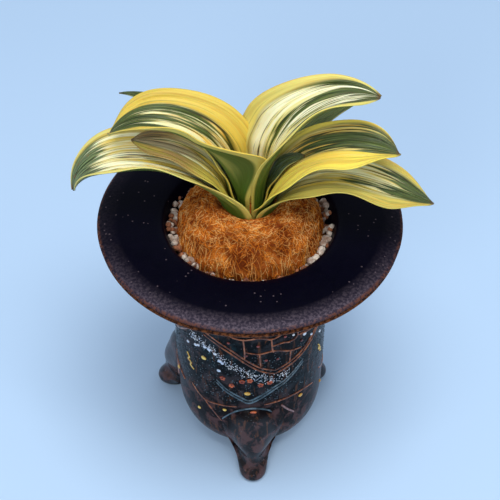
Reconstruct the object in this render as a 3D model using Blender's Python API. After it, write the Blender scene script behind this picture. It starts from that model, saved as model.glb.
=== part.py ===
"""A two-ranked, strap-leaved pot plant in its wide-brimmed, three-footed glazed pot.

The pot stands on the floor at z = 0 with its axis on the world Z axis. +X is the right-hand
rank of leaves and -Y is the front, where one of the three feet is.
"""

import math

import bmesh
import bpy
from mathutils import Matrix, Vector

MM = 0.001

# Pot
BRIM_HEIGHT = 121 * MM          # floor to the crown of the brim
BRIM_RADIUS = 61.2 * MM         # greatest radius, at the lip's upper bead
THROAT_RADIUS = 35 * MM         # where the brim turns down into the pot
BODY_RADIUS = 31.5 * MM
CAVITY_RADIUS = 27.5 * MM
BASE_HEIGHT = 7.5 * MM          # underside of the pot's floor above the table
POT_FLOOR = 12 * MM             # upper side of the pot's floor
DRAIN_RADIUS = 11 * MM
POT_STEPS = 44

# Feet: azimuth from the front, counted towards +X, and the toe's distance from the axis
FEET = {
    "front": (2, 42.5 * MM),
    "left": (-116, 46.0 * MM),
    "right": (124, 41.0 * MM),
}
LEG_ROOT = 29 * MM              # the flat inner side of each leg lies inside the body wall
LEG_STEPS = 10

# Fillings
GAP = 0.35 * MM
NET_RADIUS = 17 * MM
NET_THICKNESS = 0.8 * MM
NET_PITCH = 5 * MM
NET_HOLE = 3 * MM
NET_STEPS = 24
COARSE_TOP = 44 * MM
MEDIUM_TOP = BRIM_HEIGHT - 19 * MM
GRAVEL_STEPS = 30
MOSS_STEPS = 36
MOSS_RADIUS = 29 * MM
MOSS_TOP = BRIM_HEIGHT + 12 * MM
CROWN_POCKET_RADIUS = 13.5 * MM
CROWN_FOOT = BRIM_HEIGHT + 3 * MM
RHIZOME_RADIUS = 6 * MM
RHIZOME_FOOT = BRIM_HEIGHT - 32 * MM
RHIZOME_STEPS = 20

# Roots
ROOT_RADIUS = 1.7 * MM
ROOT_COUNT = 6
ROOT_FOOT = 21 * MM
ROOT_START = 4.5 * MM
ROOT_SPREAD = 19 * MM

# Leaves
LEAF_THICKNESS = 1.0 * MM
LEAF_ROWS = 14
LEAF_COLUMNS = 4
OPENING = 0.45                  # share of the length over which the sheath opens into the blade
TAPER_START = 0.55              # and where the blade starts to narrow to its tip
SWAY_SPAN = 0.6                 # the sway, the roll and the crown's squash each ease in or out
ROLL_SPAN = 0.5                 # over this share of the length
SQUASH_SPAN = 0.3
MIDRIB_STEPS = 12               # integration steps for each row of the blade

CROWN_SQUASH = 0.74             # the crown is narrower from front to back than across

# Each leaf: rank azimuth, how far it sways from it, radius of its base round the crown, length,
# half width, elevation of the midrib as four Bezier controls, roll, and the open blade's cup
# radius. Here lengths are in millimetres and angles in degrees.
LEAVES = {
    "leaf_left_1": dict(
        azimuth=180, sway=-3, base=10.6, length=83.5, half=12.5,
        rise=(90, 14, 8, -84), roll=-12, cup=18,
    ),
    "leaf_left_2": dict(
        azimuth=180, sway=-6, base=8.5, length=58, half=8.5,
        rise=(90, 72, 14, -8), roll=-8, cup=20,
    ),
    "leaf_left_3": dict(
        azimuth=180, sway=-4, base=6.4, length=40, half=5,
        rise=(88, 84, 62, 40), roll=0, cup=15,
    ),
    "leaf_left_4": dict(
        azimuth=180, sway=-4, base=4.4, length=84, half=13,
        rise=(87, 86, 20, -58), roll=-12, cup=17,
    ),
    "leaf_left_back": dict(
        azimuth=134, sway=17, base=12, length=70, half=4,
        rise=(86, 48, 10, -24), roll=0, cup=15,
    ),
    "leaf_right_1": dict(
        azimuth=0, sway=-12, base=10.6, length=73.5, half=12.5,
        rise=(90, 2, -20, -20), roll=-2, cup=17,
    ),
    "leaf_right_2": dict(
        azimuth=0, sway=-8, base=8.5, length=71, half=12.5,
        rise=(90, 62, 8, -20), roll=-5, cup=17,
    ),
    "leaf_right_3": dict(
        azimuth=0, sway=0, base=6.4, length=35, half=4.5,
        rise=(90, 90, 84, 30), roll=0, cup=15,
    ),
    "leaf_right_4": dict(
        azimuth=0, sway=3, base=4.4, length=85, half=13,
        rise=(86, 86, 57, -30), roll=4, cup=16,
    ),
    "leaf_right_back": dict(
        azimuth=46, sway=-17, base=12, length=57, half=4,
        rise=(86, 34, 20, 4), roll=0, cup=15,
    ),
}


def clear_scene():
    for obj in list(bpy.data.objects):
        bpy.data.objects.remove(obj, do_unlink=True)


def material(name, color, roughness, metallic=0.0):
    made = bpy.data.materials.new(name)
    made.use_nodes = True
    shader = made.node_tree.nodes["Principled BSDF"]
    shader.inputs["Base Color"].default_value = (*color, 1)
    shader.inputs["Roughness"].default_value = roughness
    shader.inputs["Metallic"].default_value = metallic
    made.diffuse_color = (*color, 1)
    return made


def object_from(name, bm, finish=None, smooth=True):
    bmesh.ops.recalc_face_normals(bm, faces=bm.faces)
    mesh = bpy.data.meshes.new(name)
    bm.to_mesh(mesh)
    bm.free()
    if smooth:
        mesh.shade_smooth()
        mesh.set_sharp_from_angle(angle=math.radians(50))
    obj = bpy.data.objects.new(name, mesh)
    bpy.context.scene.collection.objects.link(obj)
    if finish:
        mesh.materials.append(finish)
    else:
        obj.hide_render = True
        obj.display_type = "WIRE"
    return obj


def turned(name, outline, finish=None, steps=POT_STEPS, closed=True):
    """An outline of (radius, height) turned round the Z axis.

    A closed outline makes a ring. An open one starts and ends on the axis and makes a solid."""
    bm = bmesh.new()
    corners = [bm.verts.new((radius, 0, height)) for radius, height in outline]
    following = corners[1:] + corners[:1] if closed else corners[1:]
    edges = [bm.edges.new(pair) for pair in zip(corners, following)]
    bmesh.ops.spin(
        bm, geom=corners + edges, cent=(0, 0, 0), axis=(0, 0, 1),
        angle=2 * math.pi, steps=steps, use_merge=True, use_duplicate=False,
    )
    bmesh.ops.remove_doubles(bm, verts=bm.verts, dist=0.01 * MM)
    return object_from(name, bm, finish)


def boolean(target, cutter, operation="DIFFERENCE"):
    change = target.modifiers.new(cutter.name, "BOOLEAN")
    change.operation = operation
    change.object = cutter
    change.solver = "EXACT"


# ---- Pot ----

def cavity_radius(height):
    """Inside radius of the pot at a height: straight, then flaring into the brim's throat."""
    flare_start = BRIM_HEIGHT - 24 * MM
    if height <= flare_start:
        return CAVITY_RADIUS
    share = min(1.0, (height - flare_start) / (BRIM_HEIGHT - 1.5 * MM - flare_start))
    return CAVITY_RADIUS + (THROAT_RADIUS - CAVITY_RADIUS) * share ** 1.6


def pot_outline():
    top = BRIM_HEIGHT
    inside = [(cavity_radius(top - drop * MM), top - drop * MM) for drop in (24, 18, 12, 7, 3.5)]
    brim = [
        (THROAT_RADIUS, top - 1.5 * MM),
        (38 * MM, top - 0.3 * MM),
        (44 * MM, top),
        (51 * MM, top - 0.1 * MM),
        (56.5 * MM, top - 0.5 * MM),
        (59.8 * MM, top - 1.1 * MM),
        (BRIM_RADIUS, top - 2.4 * MM),
        (60.2 * MM, top - 4.0 * MM),
        (60.4 * MM, top - 5.4 * MM),
        (58.0 * MM, top - 6.8 * MM),
    ]
    below = [
        (50 * MM, top - 7.2 * MM),
        (42 * MM, top - 9.5 * MM),
        (36 * MM, top - 14 * MM),
        (32.6 * MM, top - 20 * MM),
        (BODY_RADIUS, top - 28 * MM),
        (31.8 * MM, 64 * MM),
        (31.6 * MM, 38 * MM),
        (31.2 * MM, 24 * MM),
        (29.9 * MM, 16 * MM),
        (27.6 * MM, 11 * MM),
        (24.0 * MM, BASE_HEIGHT),
    ]
    floor = [
        (DRAIN_RADIUS, BASE_HEIGHT),
        (DRAIN_RADIUS, POT_FLOOR),
        (24 * MM, POT_FLOOR),
        (26.7 * MM, 14 * MM),
        (CAVITY_RADIUS, 18 * MM),
    ]
    return floor + inside + brim + below


def leg(name, azimuth, toe):
    """One foot: D-shaped sections stacked from the sole up to the knee on the body wall."""
    sections = [                 # height, half width, inner and outer distance from the axis
        (0.0, 4.2 * MM, toe - 10.0 * MM, toe - 1.6 * MM),
        (1.6 * MM, 5.6 * MM, toe - 11.6 * MM, toe),
        (5.0 * MM, 6.2 * MM, toe - 13.0 * MM, toe - 1.4 * MM),
        (9.5 * MM, 7.2 * MM, LEG_ROOT - 3 * MM, toe - 3.8 * MM),
        (16.0 * MM, 9.2 * MM, LEG_ROOT, toe - 3.2 * MM),
        (23.0 * MM, 10.8 * MM, LEG_ROOT, toe - 5.2 * MM),
        (30.0 * MM, 10.8 * MM, LEG_ROOT, toe - 8.4 * MM),
        (35.5 * MM, 8.6 * MM, LEG_ROOT, 33.4 * MM),
        (38.5 * MM, 5.0 * MM, LEG_ROOT, 30.6 * MM),
    ]
    bm = bmesh.new()
    rings = []
    for height, half_width, inner, outer in sections:
        ring = []
        for step in range(LEG_STEPS + 1):
            turn = math.pi * step / LEG_STEPS - math.pi / 2
            bulge = max(0.0, math.cos(turn)) ** 0.8 if 0 < step < LEG_STEPS else 0.0
            reach = inner + (outer - inner) * bulge
            ring.append(bm.verts.new((half_width * math.sin(turn), -reach, height)))
        rings.append(ring)
    for lower, upper in zip(rings, rings[1:]):
        for i in range(len(lower)):
            j = (i + 1) % len(lower)
            bm.faces.new((lower[i], lower[j], upper[j], upper[i]))
    bm.faces.new(rings[0][::-1])
    bm.faces.new(rings[-1])
    turning = Matrix.Rotation(math.radians(azimuth), 3, "Z")
    bmesh.ops.rotate(bm, verts=bm.verts, cent=(0, 0, 0), matrix=turning)
    return object_from(name, bm)


def build_pot(finish):
    pot = turned("pot", pot_outline(), finish)
    for side, (azimuth, toe) in FEET.items():
        boolean(pot, leg(side + "_leg_shape", azimuth, toe), "UNION")
    return pot


def build_drain_net(finish):
    """A round plastic mesh over the drain hole."""
    foot = POT_FLOOR + GAP
    outline = [(0, foot), (NET_RADIUS, foot), (NET_RADIUS, foot + NET_THICKNESS), (0, foot + NET_THICKNESS)]
    net = turned("drain_net", outline, finish, NET_STEPS, closed=False)
    bm = bmesh.new()
    for column in range(-2, 3):
        for row in range(-2, 3):
            if abs(column) == 2 and abs(row) == 2:
                continue
            place = (column * NET_PITCH, row * NET_PITCH, foot + NET_THICKNESS / 2)
            bmesh.ops.create_cube(bm, size=NET_HOLE, matrix=Matrix.Translation(place))
    boolean(net, object_from("net_hole_shapes", bm, smooth=False))


# ---- Plant below the moss ----

def root_line(number):
    """Points down the middle of one fleshy root, from the rhizome into the coarse gravel."""
    turn = 2 * math.pi * (number + 0.35) / ROOT_COUNT
    top = RHIZOME_FOOT - GAP - ROOT_RADIUS * 0.4
    points = []
    steps = 14
    for step in range(steps + 1):
        share = step / steps
        radius = ROOT_START + (ROOT_SPREAD - ROOT_START) * math.sin(share * math.pi / 2) ** 1.4
        wander = turn + 0.3 * math.sin(4.5 * share + number) * share
        height = top + (ROOT_FOOT + 3 * MM * (number % 3) - top) * share
        points.append(Vector((radius * math.cos(wander), radius * math.sin(wander), height)))
    return points


def tube(name, points, radius, finish=None):
    curve = bpy.data.curves.new(name, "CURVE")
    curve.dimensions = "3D"
    curve.bevel_depth = radius
    curve.bevel_resolution = 1
    curve.use_fill_caps = True
    spline = curve.splines.new("POLY")
    spline.points.add(len(points) - 1)
    for slot, point in zip(spline.points, points):
        slot.co = (*point, 1)
    obj = bpy.data.objects.new(name, curve)
    bpy.context.scene.collection.objects.link(obj)
    graph = bpy.context.evaluated_depsgraph_get()
    mesh = bpy.data.meshes.new_from_object(obj.evaluated_get(graph))
    bpy.data.objects.remove(obj, do_unlink=True)
    bm = bmesh.new()
    bm.from_mesh(mesh)
    bmesh.ops.remove_doubles(bm, verts=bm.verts, dist=0.01 * MM)
    return object_from(name, bm, finish)


def build_roots(finish):
    """The roots, and a slightly fatter shape of each to clear its channel in the gravel."""
    channels = []
    for number in range(ROOT_COUNT):
        points = root_line(number)
        tube(f"root_{number + 1}", points, ROOT_RADIUS, finish)
        past_end = (points[-1] - points[-2]).normalized() * 1.2 * MM
        longer = [points[0] + Vector((0, 0, 3 * MM))] + points + [points[-1] + past_end]
        channels.append(tube(f"root_channel_shape_{number + 1}", longer, ROOT_RADIUS + GAP))
    return channels


def build_rhizome(finish):
    foot = RHIZOME_FOOT
    top = CROWN_FOOT - GAP
    outline = [
        (0, foot), (4.2 * MM, foot), (5.6 * MM, foot + 3 * MM), (5.1 * MM, foot + 8 * MM),
        (RHIZOME_RADIUS, foot + 13 * MM), (5.4 * MM, foot + 19 * MM), (RHIZOME_RADIUS, foot + 25 * MM),
        (RHIZOME_RADIUS, top - 1.5 * MM), (5 * MM, top), (0, top),
    ]
    turned("rhizome", outline, finish, RHIZOME_STEPS, closed=False)


# ---- Gravel and moss ----

def lumpy(obj, depth, waves, lowest, highest):
    """Pushes the vertices between two heights in and out along a fixed sum of waves."""
    for vertex in obj.data.vertices:
        place = vertex.co
        if not lowest <= place.z <= highest:
            continue
        turn = math.atan2(place.y, place.x)
        distance = math.hypot(place.x, place.y)
        wave = math.sin(waves * turn + 90 * distance / 0.03) * math.cos((waves - 3) * turn - 1.3)
        place.z += depth * wave


def build_gravel(finish, channels):
    wall = CAVITY_RADIUS - GAP
    net_top = POT_FLOOR + GAP + NET_THICKNESS
    coarse = turned("gravel_coarse", [
        (0, net_top + GAP), (NET_RADIUS + 1 * MM, net_top + GAP), (23.5 * MM, net_top + GAP),
        (25.8 * MM, 15 * MM), (wall, 18.6 * MM), (wall, COARSE_TOP), (14 * MM, COARSE_TOP), (0, COARSE_TOP),
    ], finish, GRAVEL_STEPS, closed=False)
    foot = COARSE_TOP + GAP
    pocket_foot = RHIZOME_FOOT - 1.2 * MM
    pocket = RHIZOME_RADIUS + GAP
    medium = turned("gravel_medium", [
        (0, foot), (14 * MM, foot), (wall, foot), (wall, MEDIUM_TOP - 6 * MM), (wall, MEDIUM_TOP),
        (pocket, MEDIUM_TOP), (pocket, pocket_foot), (0, pocket_foot),
    ], finish, GRAVEL_STEPS, closed=False)
    for channel in channels:
        boolean(coarse, channel)
        boolean(medium, channel)
    ring_foot = MEDIUM_TOP + GAP
    ring_top = BRIM_HEIGHT - 5.5 * MM
    inner = MOSS_RADIUS + GAP + 0.4 * MM
    heights = [ring_foot + (ring_top - ring_foot) * share for share in (0.45, 0.7, 0.9, 1.0)]
    turned("gravel_top", [
        (25.2 * MM, ring_foot + 0.2 * MM), (cavity_radius(ring_foot) - GAP, ring_foot + 0.2 * MM),
        *[(cavity_radius(height) - 0.2 * MM - GAP, height) for height in heights],
        (inner, ring_top - 0.6 * MM), (inner, BRIM_HEIGHT - 10 * MM), (26.6 * MM, BRIM_HEIGHT - 14.6 * MM),
    ], finish)


def build_moss(finish):
    """The packed moss round the crown, a lumpy dome with a pocket for the leaf bases."""
    foot = MEDIUM_TOP + GAP
    pocket_foot = CROWN_FOOT - 1.5 * MM
    slim = RHIZOME_RADIUS + GAP
    outline = [
        (slim, foot), (24.6 * MM, foot), (26.0 * MM, BRIM_HEIGHT - 14.6 * MM),
        (MOSS_RADIUS, BRIM_HEIGHT - 9.5 * MM), (MOSS_RADIUS, BRIM_HEIGHT - 4 * MM),
        (28.2 * MM, BRIM_HEIGHT + 1 * MM), (25.8 * MM, BRIM_HEIGHT + 5 * MM),
        (22.0 * MM, BRIM_HEIGHT + 8.8 * MM), (18.4 * MM, MOSS_TOP - 0.6 * MM),
        (CROWN_POCKET_RADIUS + 2.4 * MM, BRIM_HEIGHT + 10.4 * MM),
        (CROWN_POCKET_RADIUS + 0.6 * MM, BRIM_HEIGHT + 6.5 * MM),
        (CROWN_POCKET_RADIUS, pocket_foot), (slim, pocket_foot),
    ]
    moss = turned("moss_mound", outline, finish, MOSS_STEPS)
    lumpy(moss, depth=0.5 * MM, waves=9, lowest=BRIM_HEIGHT, highest=MOSS_TOP - 0.5 * MM)


# ---- Leaves ----

def ease(share):
    share = max(0.0, min(1.0, share))
    return share * share * (3 - 2 * share)


def elevation(rise, share):
    """Elevation of the midrib, a Bezier curve of four control angles."""
    rest = 1 - share
    return (rise[0] * rest ** 3 + 3 * rise[1] * share * rest ** 2
            + 3 * rise[2] * share ** 2 * rest + rise[3] * share ** 3)


def half_width(leaf, share):
    sheath = min(leaf["base"] * 1.35, leaf["half"] * 0.85)
    width = sheath + (leaf["half"] - sheath) * ease(share / OPENING)
    if share > TAPER_START:
        width *= max(0.07, (1 - ((share - TAPER_START) / (1 - TAPER_START)) ** 2.1) ** 0.8)
    return width


def midrib(leaf, rows):
    """Places and frames along the midrib: (share, point, lateral, normal) in millimetres."""
    azimuth = math.radians(leaf["azimuth"])
    point = Vector((leaf["base"] * math.cos(azimuth), leaf["base"] * math.sin(azimuth), CROWN_FOOT / MM))
    steps = rows * MIDRIB_STEPS
    step = leaf["length"] / steps
    places = []
    for index in range(steps + 1):
        share = index / steps
        turn = azimuth + math.radians(leaf["sway"]) * ease(share / SWAY_SPAN)
        slope = math.radians(elevation(leaf["rise"], share))
        outward = Vector((math.cos(turn), math.sin(turn), 0))
        along = outward * math.cos(slope) + Vector((0, 0, math.sin(slope)))
        lateral = Vector((0, 0, 1)).cross(outward)
        normal = along.cross(lateral)
        roll = Matrix.Rotation(math.radians(leaf["roll"]) * ease(share / ROLL_SPAN), 3, along)
        if index % MIDRIB_STEPS == 0:
            places.append((share, point.copy(), roll @ lateral, roll @ normal))
        point += along * step
    return places


def leaf_point(leaf, place, across):
    """A point of the blade's middle surface; across runs from -1 to 1."""
    share, point, lateral, normal = place
    half = half_width(leaf, share)
    opened = ease(share / OPENING)
    squash = CROWN_SQUASH + (1 - CROWN_SQUASH) * ease(share / SQUASH_SPAN)
    bend = (1 - opened) / leaf["base"] + opened / leaf["cup"]
    swing = half * bend * across
    return point + lateral * (math.sin(swing) / bend * squash) + normal * ((1 - math.cos(swing)) / bend)


def build_leaf(name, leaf, finish):
    bm = bmesh.new()
    bmesh.ops.create_grid(bm, x_segments=LEAF_COLUMNS, y_segments=LEAF_ROWS, size=1)
    places = midrib(leaf, LEAF_ROWS)
    for vertex in bm.verts:
        row = round((vertex.co.y + 1) / 2 * LEAF_ROWS)
        vertex.co = leaf_point(leaf, places[row], vertex.co.x) * MM
    mesh = bpy.data.meshes.new(name)
    bm.to_mesh(mesh)
    bm.free()
    mesh.shade_smooth()
    mesh.materials.append(finish)
    blade = bpy.data.objects.new(name, mesh)
    bpy.context.scene.collection.objects.link(blade)
    body = blade.modifiers.new("thickness", "SOLIDIFY")
    body.thickness = LEAF_THICKNESS
    body.offset = 0


def main():
    clear_scene()
    glaze = material("glaze", (0.035, 0.028, 0.03), 0.28)
    net_plastic = material("net_plastic", (0.03, 0.03, 0.03), 0.6)
    pumice = material("pumice", (0.72, 0.66, 0.58), 0.95)
    moss = material("moss", (0.42, 0.2, 0.07), 0.95)
    root_skin = material("root_skin", (0.82, 0.76, 0.6), 0.7)
    leaf_green = material("leaf", (0.55, 0.56, 0.18), 0.42)
    build_pot(glaze)
    build_drain_net(net_plastic)
    build_rhizome(root_skin)
    channels = build_roots(root_skin)
    build_gravel(pumice, channels)
    build_moss(moss)
    for name, leaf in LEAVES.items():
        build_leaf(name, leaf, leaf_green)


main()
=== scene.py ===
import math
import random

import bmesh
import bpy
from mathutils import Matrix, Vector, noise


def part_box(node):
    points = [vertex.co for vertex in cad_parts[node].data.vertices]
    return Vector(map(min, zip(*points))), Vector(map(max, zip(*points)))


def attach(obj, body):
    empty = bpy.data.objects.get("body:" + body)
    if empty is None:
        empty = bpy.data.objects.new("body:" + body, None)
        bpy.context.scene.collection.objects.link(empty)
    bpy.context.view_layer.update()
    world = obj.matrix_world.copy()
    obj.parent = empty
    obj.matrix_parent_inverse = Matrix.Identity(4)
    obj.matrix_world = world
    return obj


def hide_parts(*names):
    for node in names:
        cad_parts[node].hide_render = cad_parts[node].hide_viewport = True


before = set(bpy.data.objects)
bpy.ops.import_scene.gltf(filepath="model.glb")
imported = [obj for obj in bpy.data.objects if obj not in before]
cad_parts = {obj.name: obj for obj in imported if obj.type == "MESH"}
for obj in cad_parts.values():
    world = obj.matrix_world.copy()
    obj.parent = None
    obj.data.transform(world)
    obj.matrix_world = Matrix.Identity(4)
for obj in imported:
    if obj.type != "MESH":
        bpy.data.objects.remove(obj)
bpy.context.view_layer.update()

# Every shape below is worked out in millimetres and brought to metres as its piece is finished.
mm = 0.001
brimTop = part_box("pot")[1].z / mm
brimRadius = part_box("pot")[1].x / mm
crownFoot = brimTop + 3          # where the leaves' midribs start


def ease(share):
    share = max(0.0, min(1.0, share))
    return share * share * (3 - 2 * share)


def smoothLine(stations, steps):
    # Catmull-Rom through a list of points, steps points to each stretch
    made = []
    last = len(stations) - 1
    for i in range(last):
        a, b = stations[max(0, i - 1)], stations[i]
        c, d = stations[i + 1], stations[min(last, i + 2)]
        for step in range(steps):
            t = step / steps
            made.append(tuple(
                0.5 * (2 * q + (r - p) * t + (2 * p - 5 * q + 4 * r - s) * t ** 2
                       + (3 * q - p - 3 * r + s) * t ** 3)
                for p, q, r, s in zip(a, b, c, d)
            ))
    made.append(tuple(stations[-1]))
    return made


def readAlong(stations, at):
    # the values of a table of stations at one place, eased between rows
    for low, high in zip(stations, stations[1:]):
        if at <= high[0]:
            share = max(0.0, (at - low[0]) / (high[0] - low[0]))
            return [a + (b - a) * share for a, b in zip(low[1:], high[1:])]
    return list(stations[-1][1:])


def addObject(name, data):
    made = bpy.data.objects.new(name, data)
    bpy.context.scene.collection.objects.link(made)
    return made


def meshFrom(name, bm, *materials):
    mesh = bpy.data.meshes.new(name)
    bm.to_mesh(mesh)
    bm.free()
    for material in materials:
        mesh.materials.append(material)
    return mesh


def bakedMesh(thing):
    # the mesh of an object with its modifiers or its bevel; the object itself goes
    graph = bpy.context.evaluated_depsgraph_get()
    mesh = bpy.data.meshes.new_from_object(thing.evaluated_get(graph))
    bpy.data.objects.remove(thing, do_unlink=True)
    return mesh


def enlist(name, mesh, replaces=()):
    # a smooth mesh becomes a piece that rides on the root body
    mesh.shade_smooth()
    piece = addObject(name, mesh)
    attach(piece, "root")
    for node in replaces:
        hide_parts(node)


def finishPiece(name, bm, material, replaces=()):
    # a bmesh in millimetres becomes a finished piece
    bmesh.ops.recalc_face_normals(bm, faces=bm.faces)
    bmesh.ops.scale(bm, vec=(mm, mm, mm), verts=bm.verts)
    enlist(name, meshFrom(name, bm, material), replaces)


def strandPiece(name, strands, radius, material, sides):
    # many thin tubes in one mesh, from curves with a round bevel; thin is how far the ends taper
    curve = bpy.data.curves.new(name, "CURVE")
    curve.dimensions = "3D"
    curve.bevel_depth = radius
    curve.bevel_resolution = sides
    curve.use_fill_caps = True
    for points, thin in strands:
        spline = curve.splines.new("POLY")
        spline.points.add(len(points) - 1)
        for i, (spot, point) in enumerate(zip(spline.points, points)):
            spot.co = (*point, 1)
            share = i / (len(points) - 1)
            spot.radius = 1 - thin * abs(2 * share - 1) ** 2
    tubes = bakedMesh(addObject(name + "Guide", curve))
    bm = bmesh.new()
    bm.from_mesh(tubes)
    bpy.data.meshes.remove(tubes)
    bpy.data.curves.remove(curve)
    bmesh.ops.remove_doubles(bm, verts=bm.verts, dist=0.0005)
    finishPiece(name, bm, material)


def turnOutline(outline, turns, closed):
    # a shape turned round the pot's axis from points of (radius, height)
    bm = bmesh.new()
    corners = [bm.verts.new((radius, 0, height)) for radius, height in outline]
    following = corners[1:] + corners[:1] if closed else corners[1:]
    edges = [bm.edges.new(pair) for pair in zip(corners, following)]
    bmesh.ops.spin(
        bm, geom=corners + edges, cent=(0, 0, 0), axis=(0, 0, 1), angle=2 * math.pi,
        steps=turns, use_merge=True, use_duplicate=False,
    )
    bmesh.ops.remove_doubles(bm, verts=bm.verts, dist=0.001)
    return bm


def compass(turn):
    # a level direction, counted from +X
    return Vector((math.cos(turn), math.sin(turn), 0))


def paint(red, green, blue):
    # a colour given as 0 to 255 screen values
    made = []
    for level in (red, green, blue):
        level /= 255
        made.append(level / 12.92 if level <= 0.04045 else ((level + 0.055) / 1.055) ** 2.4)
    return (*made, 1.0)


def startMaterial(name, roughness, **sockets):
    made = bpy.data.materials.new(name)
    made.use_nodes = True
    shader = made.node_tree.nodes["Principled BSDF"]
    shader.inputs["Roughness"].default_value = roughness
    for socket, value in sockets.items():
        shader.inputs[socket.replace("_", " ")].default_value = value
    return made, shader


def plug(value, node, socket):
    # a number or colour is set on the socket, and another node's output is linked to it
    if isinstance(value, bpy.types.NodeSocket):
        node.id_data.links.new(value, node.inputs[socket])
    else:
        node.inputs[socket].default_value = value


def addNode(source, kind, **sockets):
    # a node in the same tree as its source, which is a node or one of its outputs
    node = source.id_data.nodes.new(kind)
    for socket, value in sockets.items():
        plug(value, node, socket)
    return node


def place(shader, scale=(1, 1, 1), source="Object", location=(0, 0, 0)):
    coords = addNode(shader, "ShaderNodeTexCoord").outputs[source]
    mapping = addNode(coords, "ShaderNodeMapping", Vector=coords, Scale=scale, Location=location)
    return mapping.outputs["Vector"]


def addNoise(vector, scale, detail=3.0, roughness=0.55, distortion=0.0):
    return addNode(vector, "ShaderNodeTexNoise", Vector=vector, Scale=scale, Detail=detail,
                   Roughness=roughness, Distortion=distortion).outputs["Fac"]


def addVoronoi(vector, scale):
    return addNode(vector, "ShaderNodeTexVoronoi", Vector=vector, Scale=scale).outputs["Distance"]


def addRamp(factor, stops, smooth=True):
    node = addNode(factor, "ShaderNodeValToRGB", Fac=factor)
    node.color_ramp.interpolation = "EASE" if smooth else "LINEAR"
    elements = node.color_ramp.elements
    while len(elements) < len(stops):
        elements.new(0.5)
    for element, (at, value) in zip(elements, stops):
        element.position = at
        element.color = (value, value, value, 1)
    return node.outputs["Color"]


def fadeIn(factor, low, high, most=1.0, smooth=True):
    return addRamp(factor, [(0.0, 0.0), (low, 0.0), (high, most), (1.0, most)], smooth)


def fadeOut(factor, low, high, most=1.0, smooth=True):
    return addRamp(factor, [(0.0, most), (low, most), (high, 0.0), (1.0, 0.0)], smooth)


def lay(below, cover, above):
    # the colour above lies over the one below as far as cover says
    node = addNode(cover, "ShaderNodeMix")
    node.data_type = "RGBA"
    for name, value in (("Factor", cover), ("A", below), ("B", above)):
        index = [i for i, socket in enumerate(node.inputs) if socket.name == name and socket.enabled][0]
        plug(value, node, index)
    return [socket for socket in node.outputs if socket.enabled][0]


def reckon(operation, first, second=0.0, third=0.0, clamp=False):
    source = first if isinstance(first, bpy.types.NodeSocket) else second
    node = addNode(source, "ShaderNodeMath")
    node.operation = operation
    node.use_clamp = clamp
    for index, value in enumerate((first, second, third)):
        plug(value, node, index)
    return node.outputs["Value"]


def times(value, by, plus=0.0):
    return reckon("MULTIPLY_ADD", value, by, plus)


def split(vector):
    node = addNode(vector, "ShaderNodeSeparateXYZ", Vector=vector)
    return node.outputs["X"], node.outputs["Y"], node.outputs["Z"]


def dress(shader, color, height, strength, distance):
    # the surface gets its colour and its fine relief
    plug(color, shader, "Base Color")
    node = addNode(shader, "ShaderNodeBump", Height=height, Strength=strength, Distance=distance)
    plug(node.outputs["Normal"], shader, "Normal")


view = {
    "distance": 650 * mm,
    "elevation": 45.5,           # degrees above the horizon
    "lens": 115,
    "sensor": 36,
    "aimDrop": 20.1 * mm,        # the aim point lies on the pot's axis, this far below the brim
}


def setCamera():
    aim = Vector((0, 0, brimTop * mm - view["aimDrop"]))
    tilt = math.radians(view["elevation"])
    back = Vector((0, -math.cos(tilt), math.sin(tilt)))
    data = bpy.data.cameras.new("camera")
    data.lens = view["lens"]
    data.sensor_width = view["sensor"]
    camera = addObject("camera", data)
    camera.location = aim + back * view["distance"]
    camera.rotation_euler = (math.radians(90) - tilt, 0, 0)
    bpy.context.scene.camera = camera


studio = {
    "floorColor": paint(188, 214, 240),
    "floorTint": paint(192, 217, 242),
    "floorReach": 2,             # metres from the pot to each edge
    "worldColor": paint(214, 226, 242),
    "worldStrength": 0.66,
    "softboxes": [               # name, place, size and watts; each looks at the pot
        ("overheadSoftbox", (0.05, -0.22, 0.95), 0.5, 5.2),
        ("frontSoftbox", (-0.3, -1.0, 0.8), 0.35, 3.2),
        ("rightSoftbox", (0.8, -0.35, 0.6), 0.3, 0.5),
    ],
}


def setWorld():
    scene = bpy.context.scene
    scene.view_settings.view_transform = "Standard"
    world = bpy.data.worlds.new("studioWorld")
    world.use_nodes = True
    background = world.node_tree.nodes["Background"]
    background.inputs["Color"].default_value = studio["worldColor"]
    background.inputs["Strength"].default_value = studio["worldStrength"]
    scene.world = world


def setSoftboxes():
    target = Vector((0, 0, brimTop * mm))
    for name, spot, size, watts in studio["softboxes"]:
        data = bpy.data.lights.new(name, "AREA")
        data.shape = "DISK"
        data.size = size
        data.energy = watts
        lamp = addObject(name, data)
        lamp.location = spot
        lamp.rotation_euler = (target - Vector(spot)).to_track_quat("-Z", "Y").to_euler()


def layFloor():
    bm = bmesh.new()
    bmesh.ops.create_grid(bm, x_segments=4, y_segments=4, size=studio["floorReach"])
    material, shader = startMaterial("paleBluePaper", 0.9, Specular_IOR_Level=0.1)
    grain = addNoise(place(shader), 3.0, 2.0)
    tint = lay(studio["floorColor"], grain, studio["floorTint"])
    plug(tint, shader, "Base Color")
    floor = addObject("paleFloor", meshFrom("paleFloor", bm, material))


pot = {
    "throatRadius": 35.0,
    "cavityRadius": 27.5,
    "baseHeight": 7.5,
    "floorHeight": 12.0,
    "drainRadius": 11.0,
    "drainFlare": 0.6,           # how much wider the drain hole opens at both ends
    "turns": 192,
    "sway": 0.12,                # the wall is a little out of true, as an oval and as a finer ripple
    "ripple": 0.05,
    "feet": [(2, 42.5), (-116, 46.0), (124, 41.0)],   # azimuth from the front, and the toe's reach
}


outerWall = [                    # radius and height, from the neck down to the turn under the body
    (32.6, brimTop - 22), (31.5, brimTop - 29), (31.7, 74), (31.85, 56), (31.6, 38), (31.2, 24),
    (29.9, 16), (27.6, 10.6), (24.6, 8.0),
]


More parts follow.
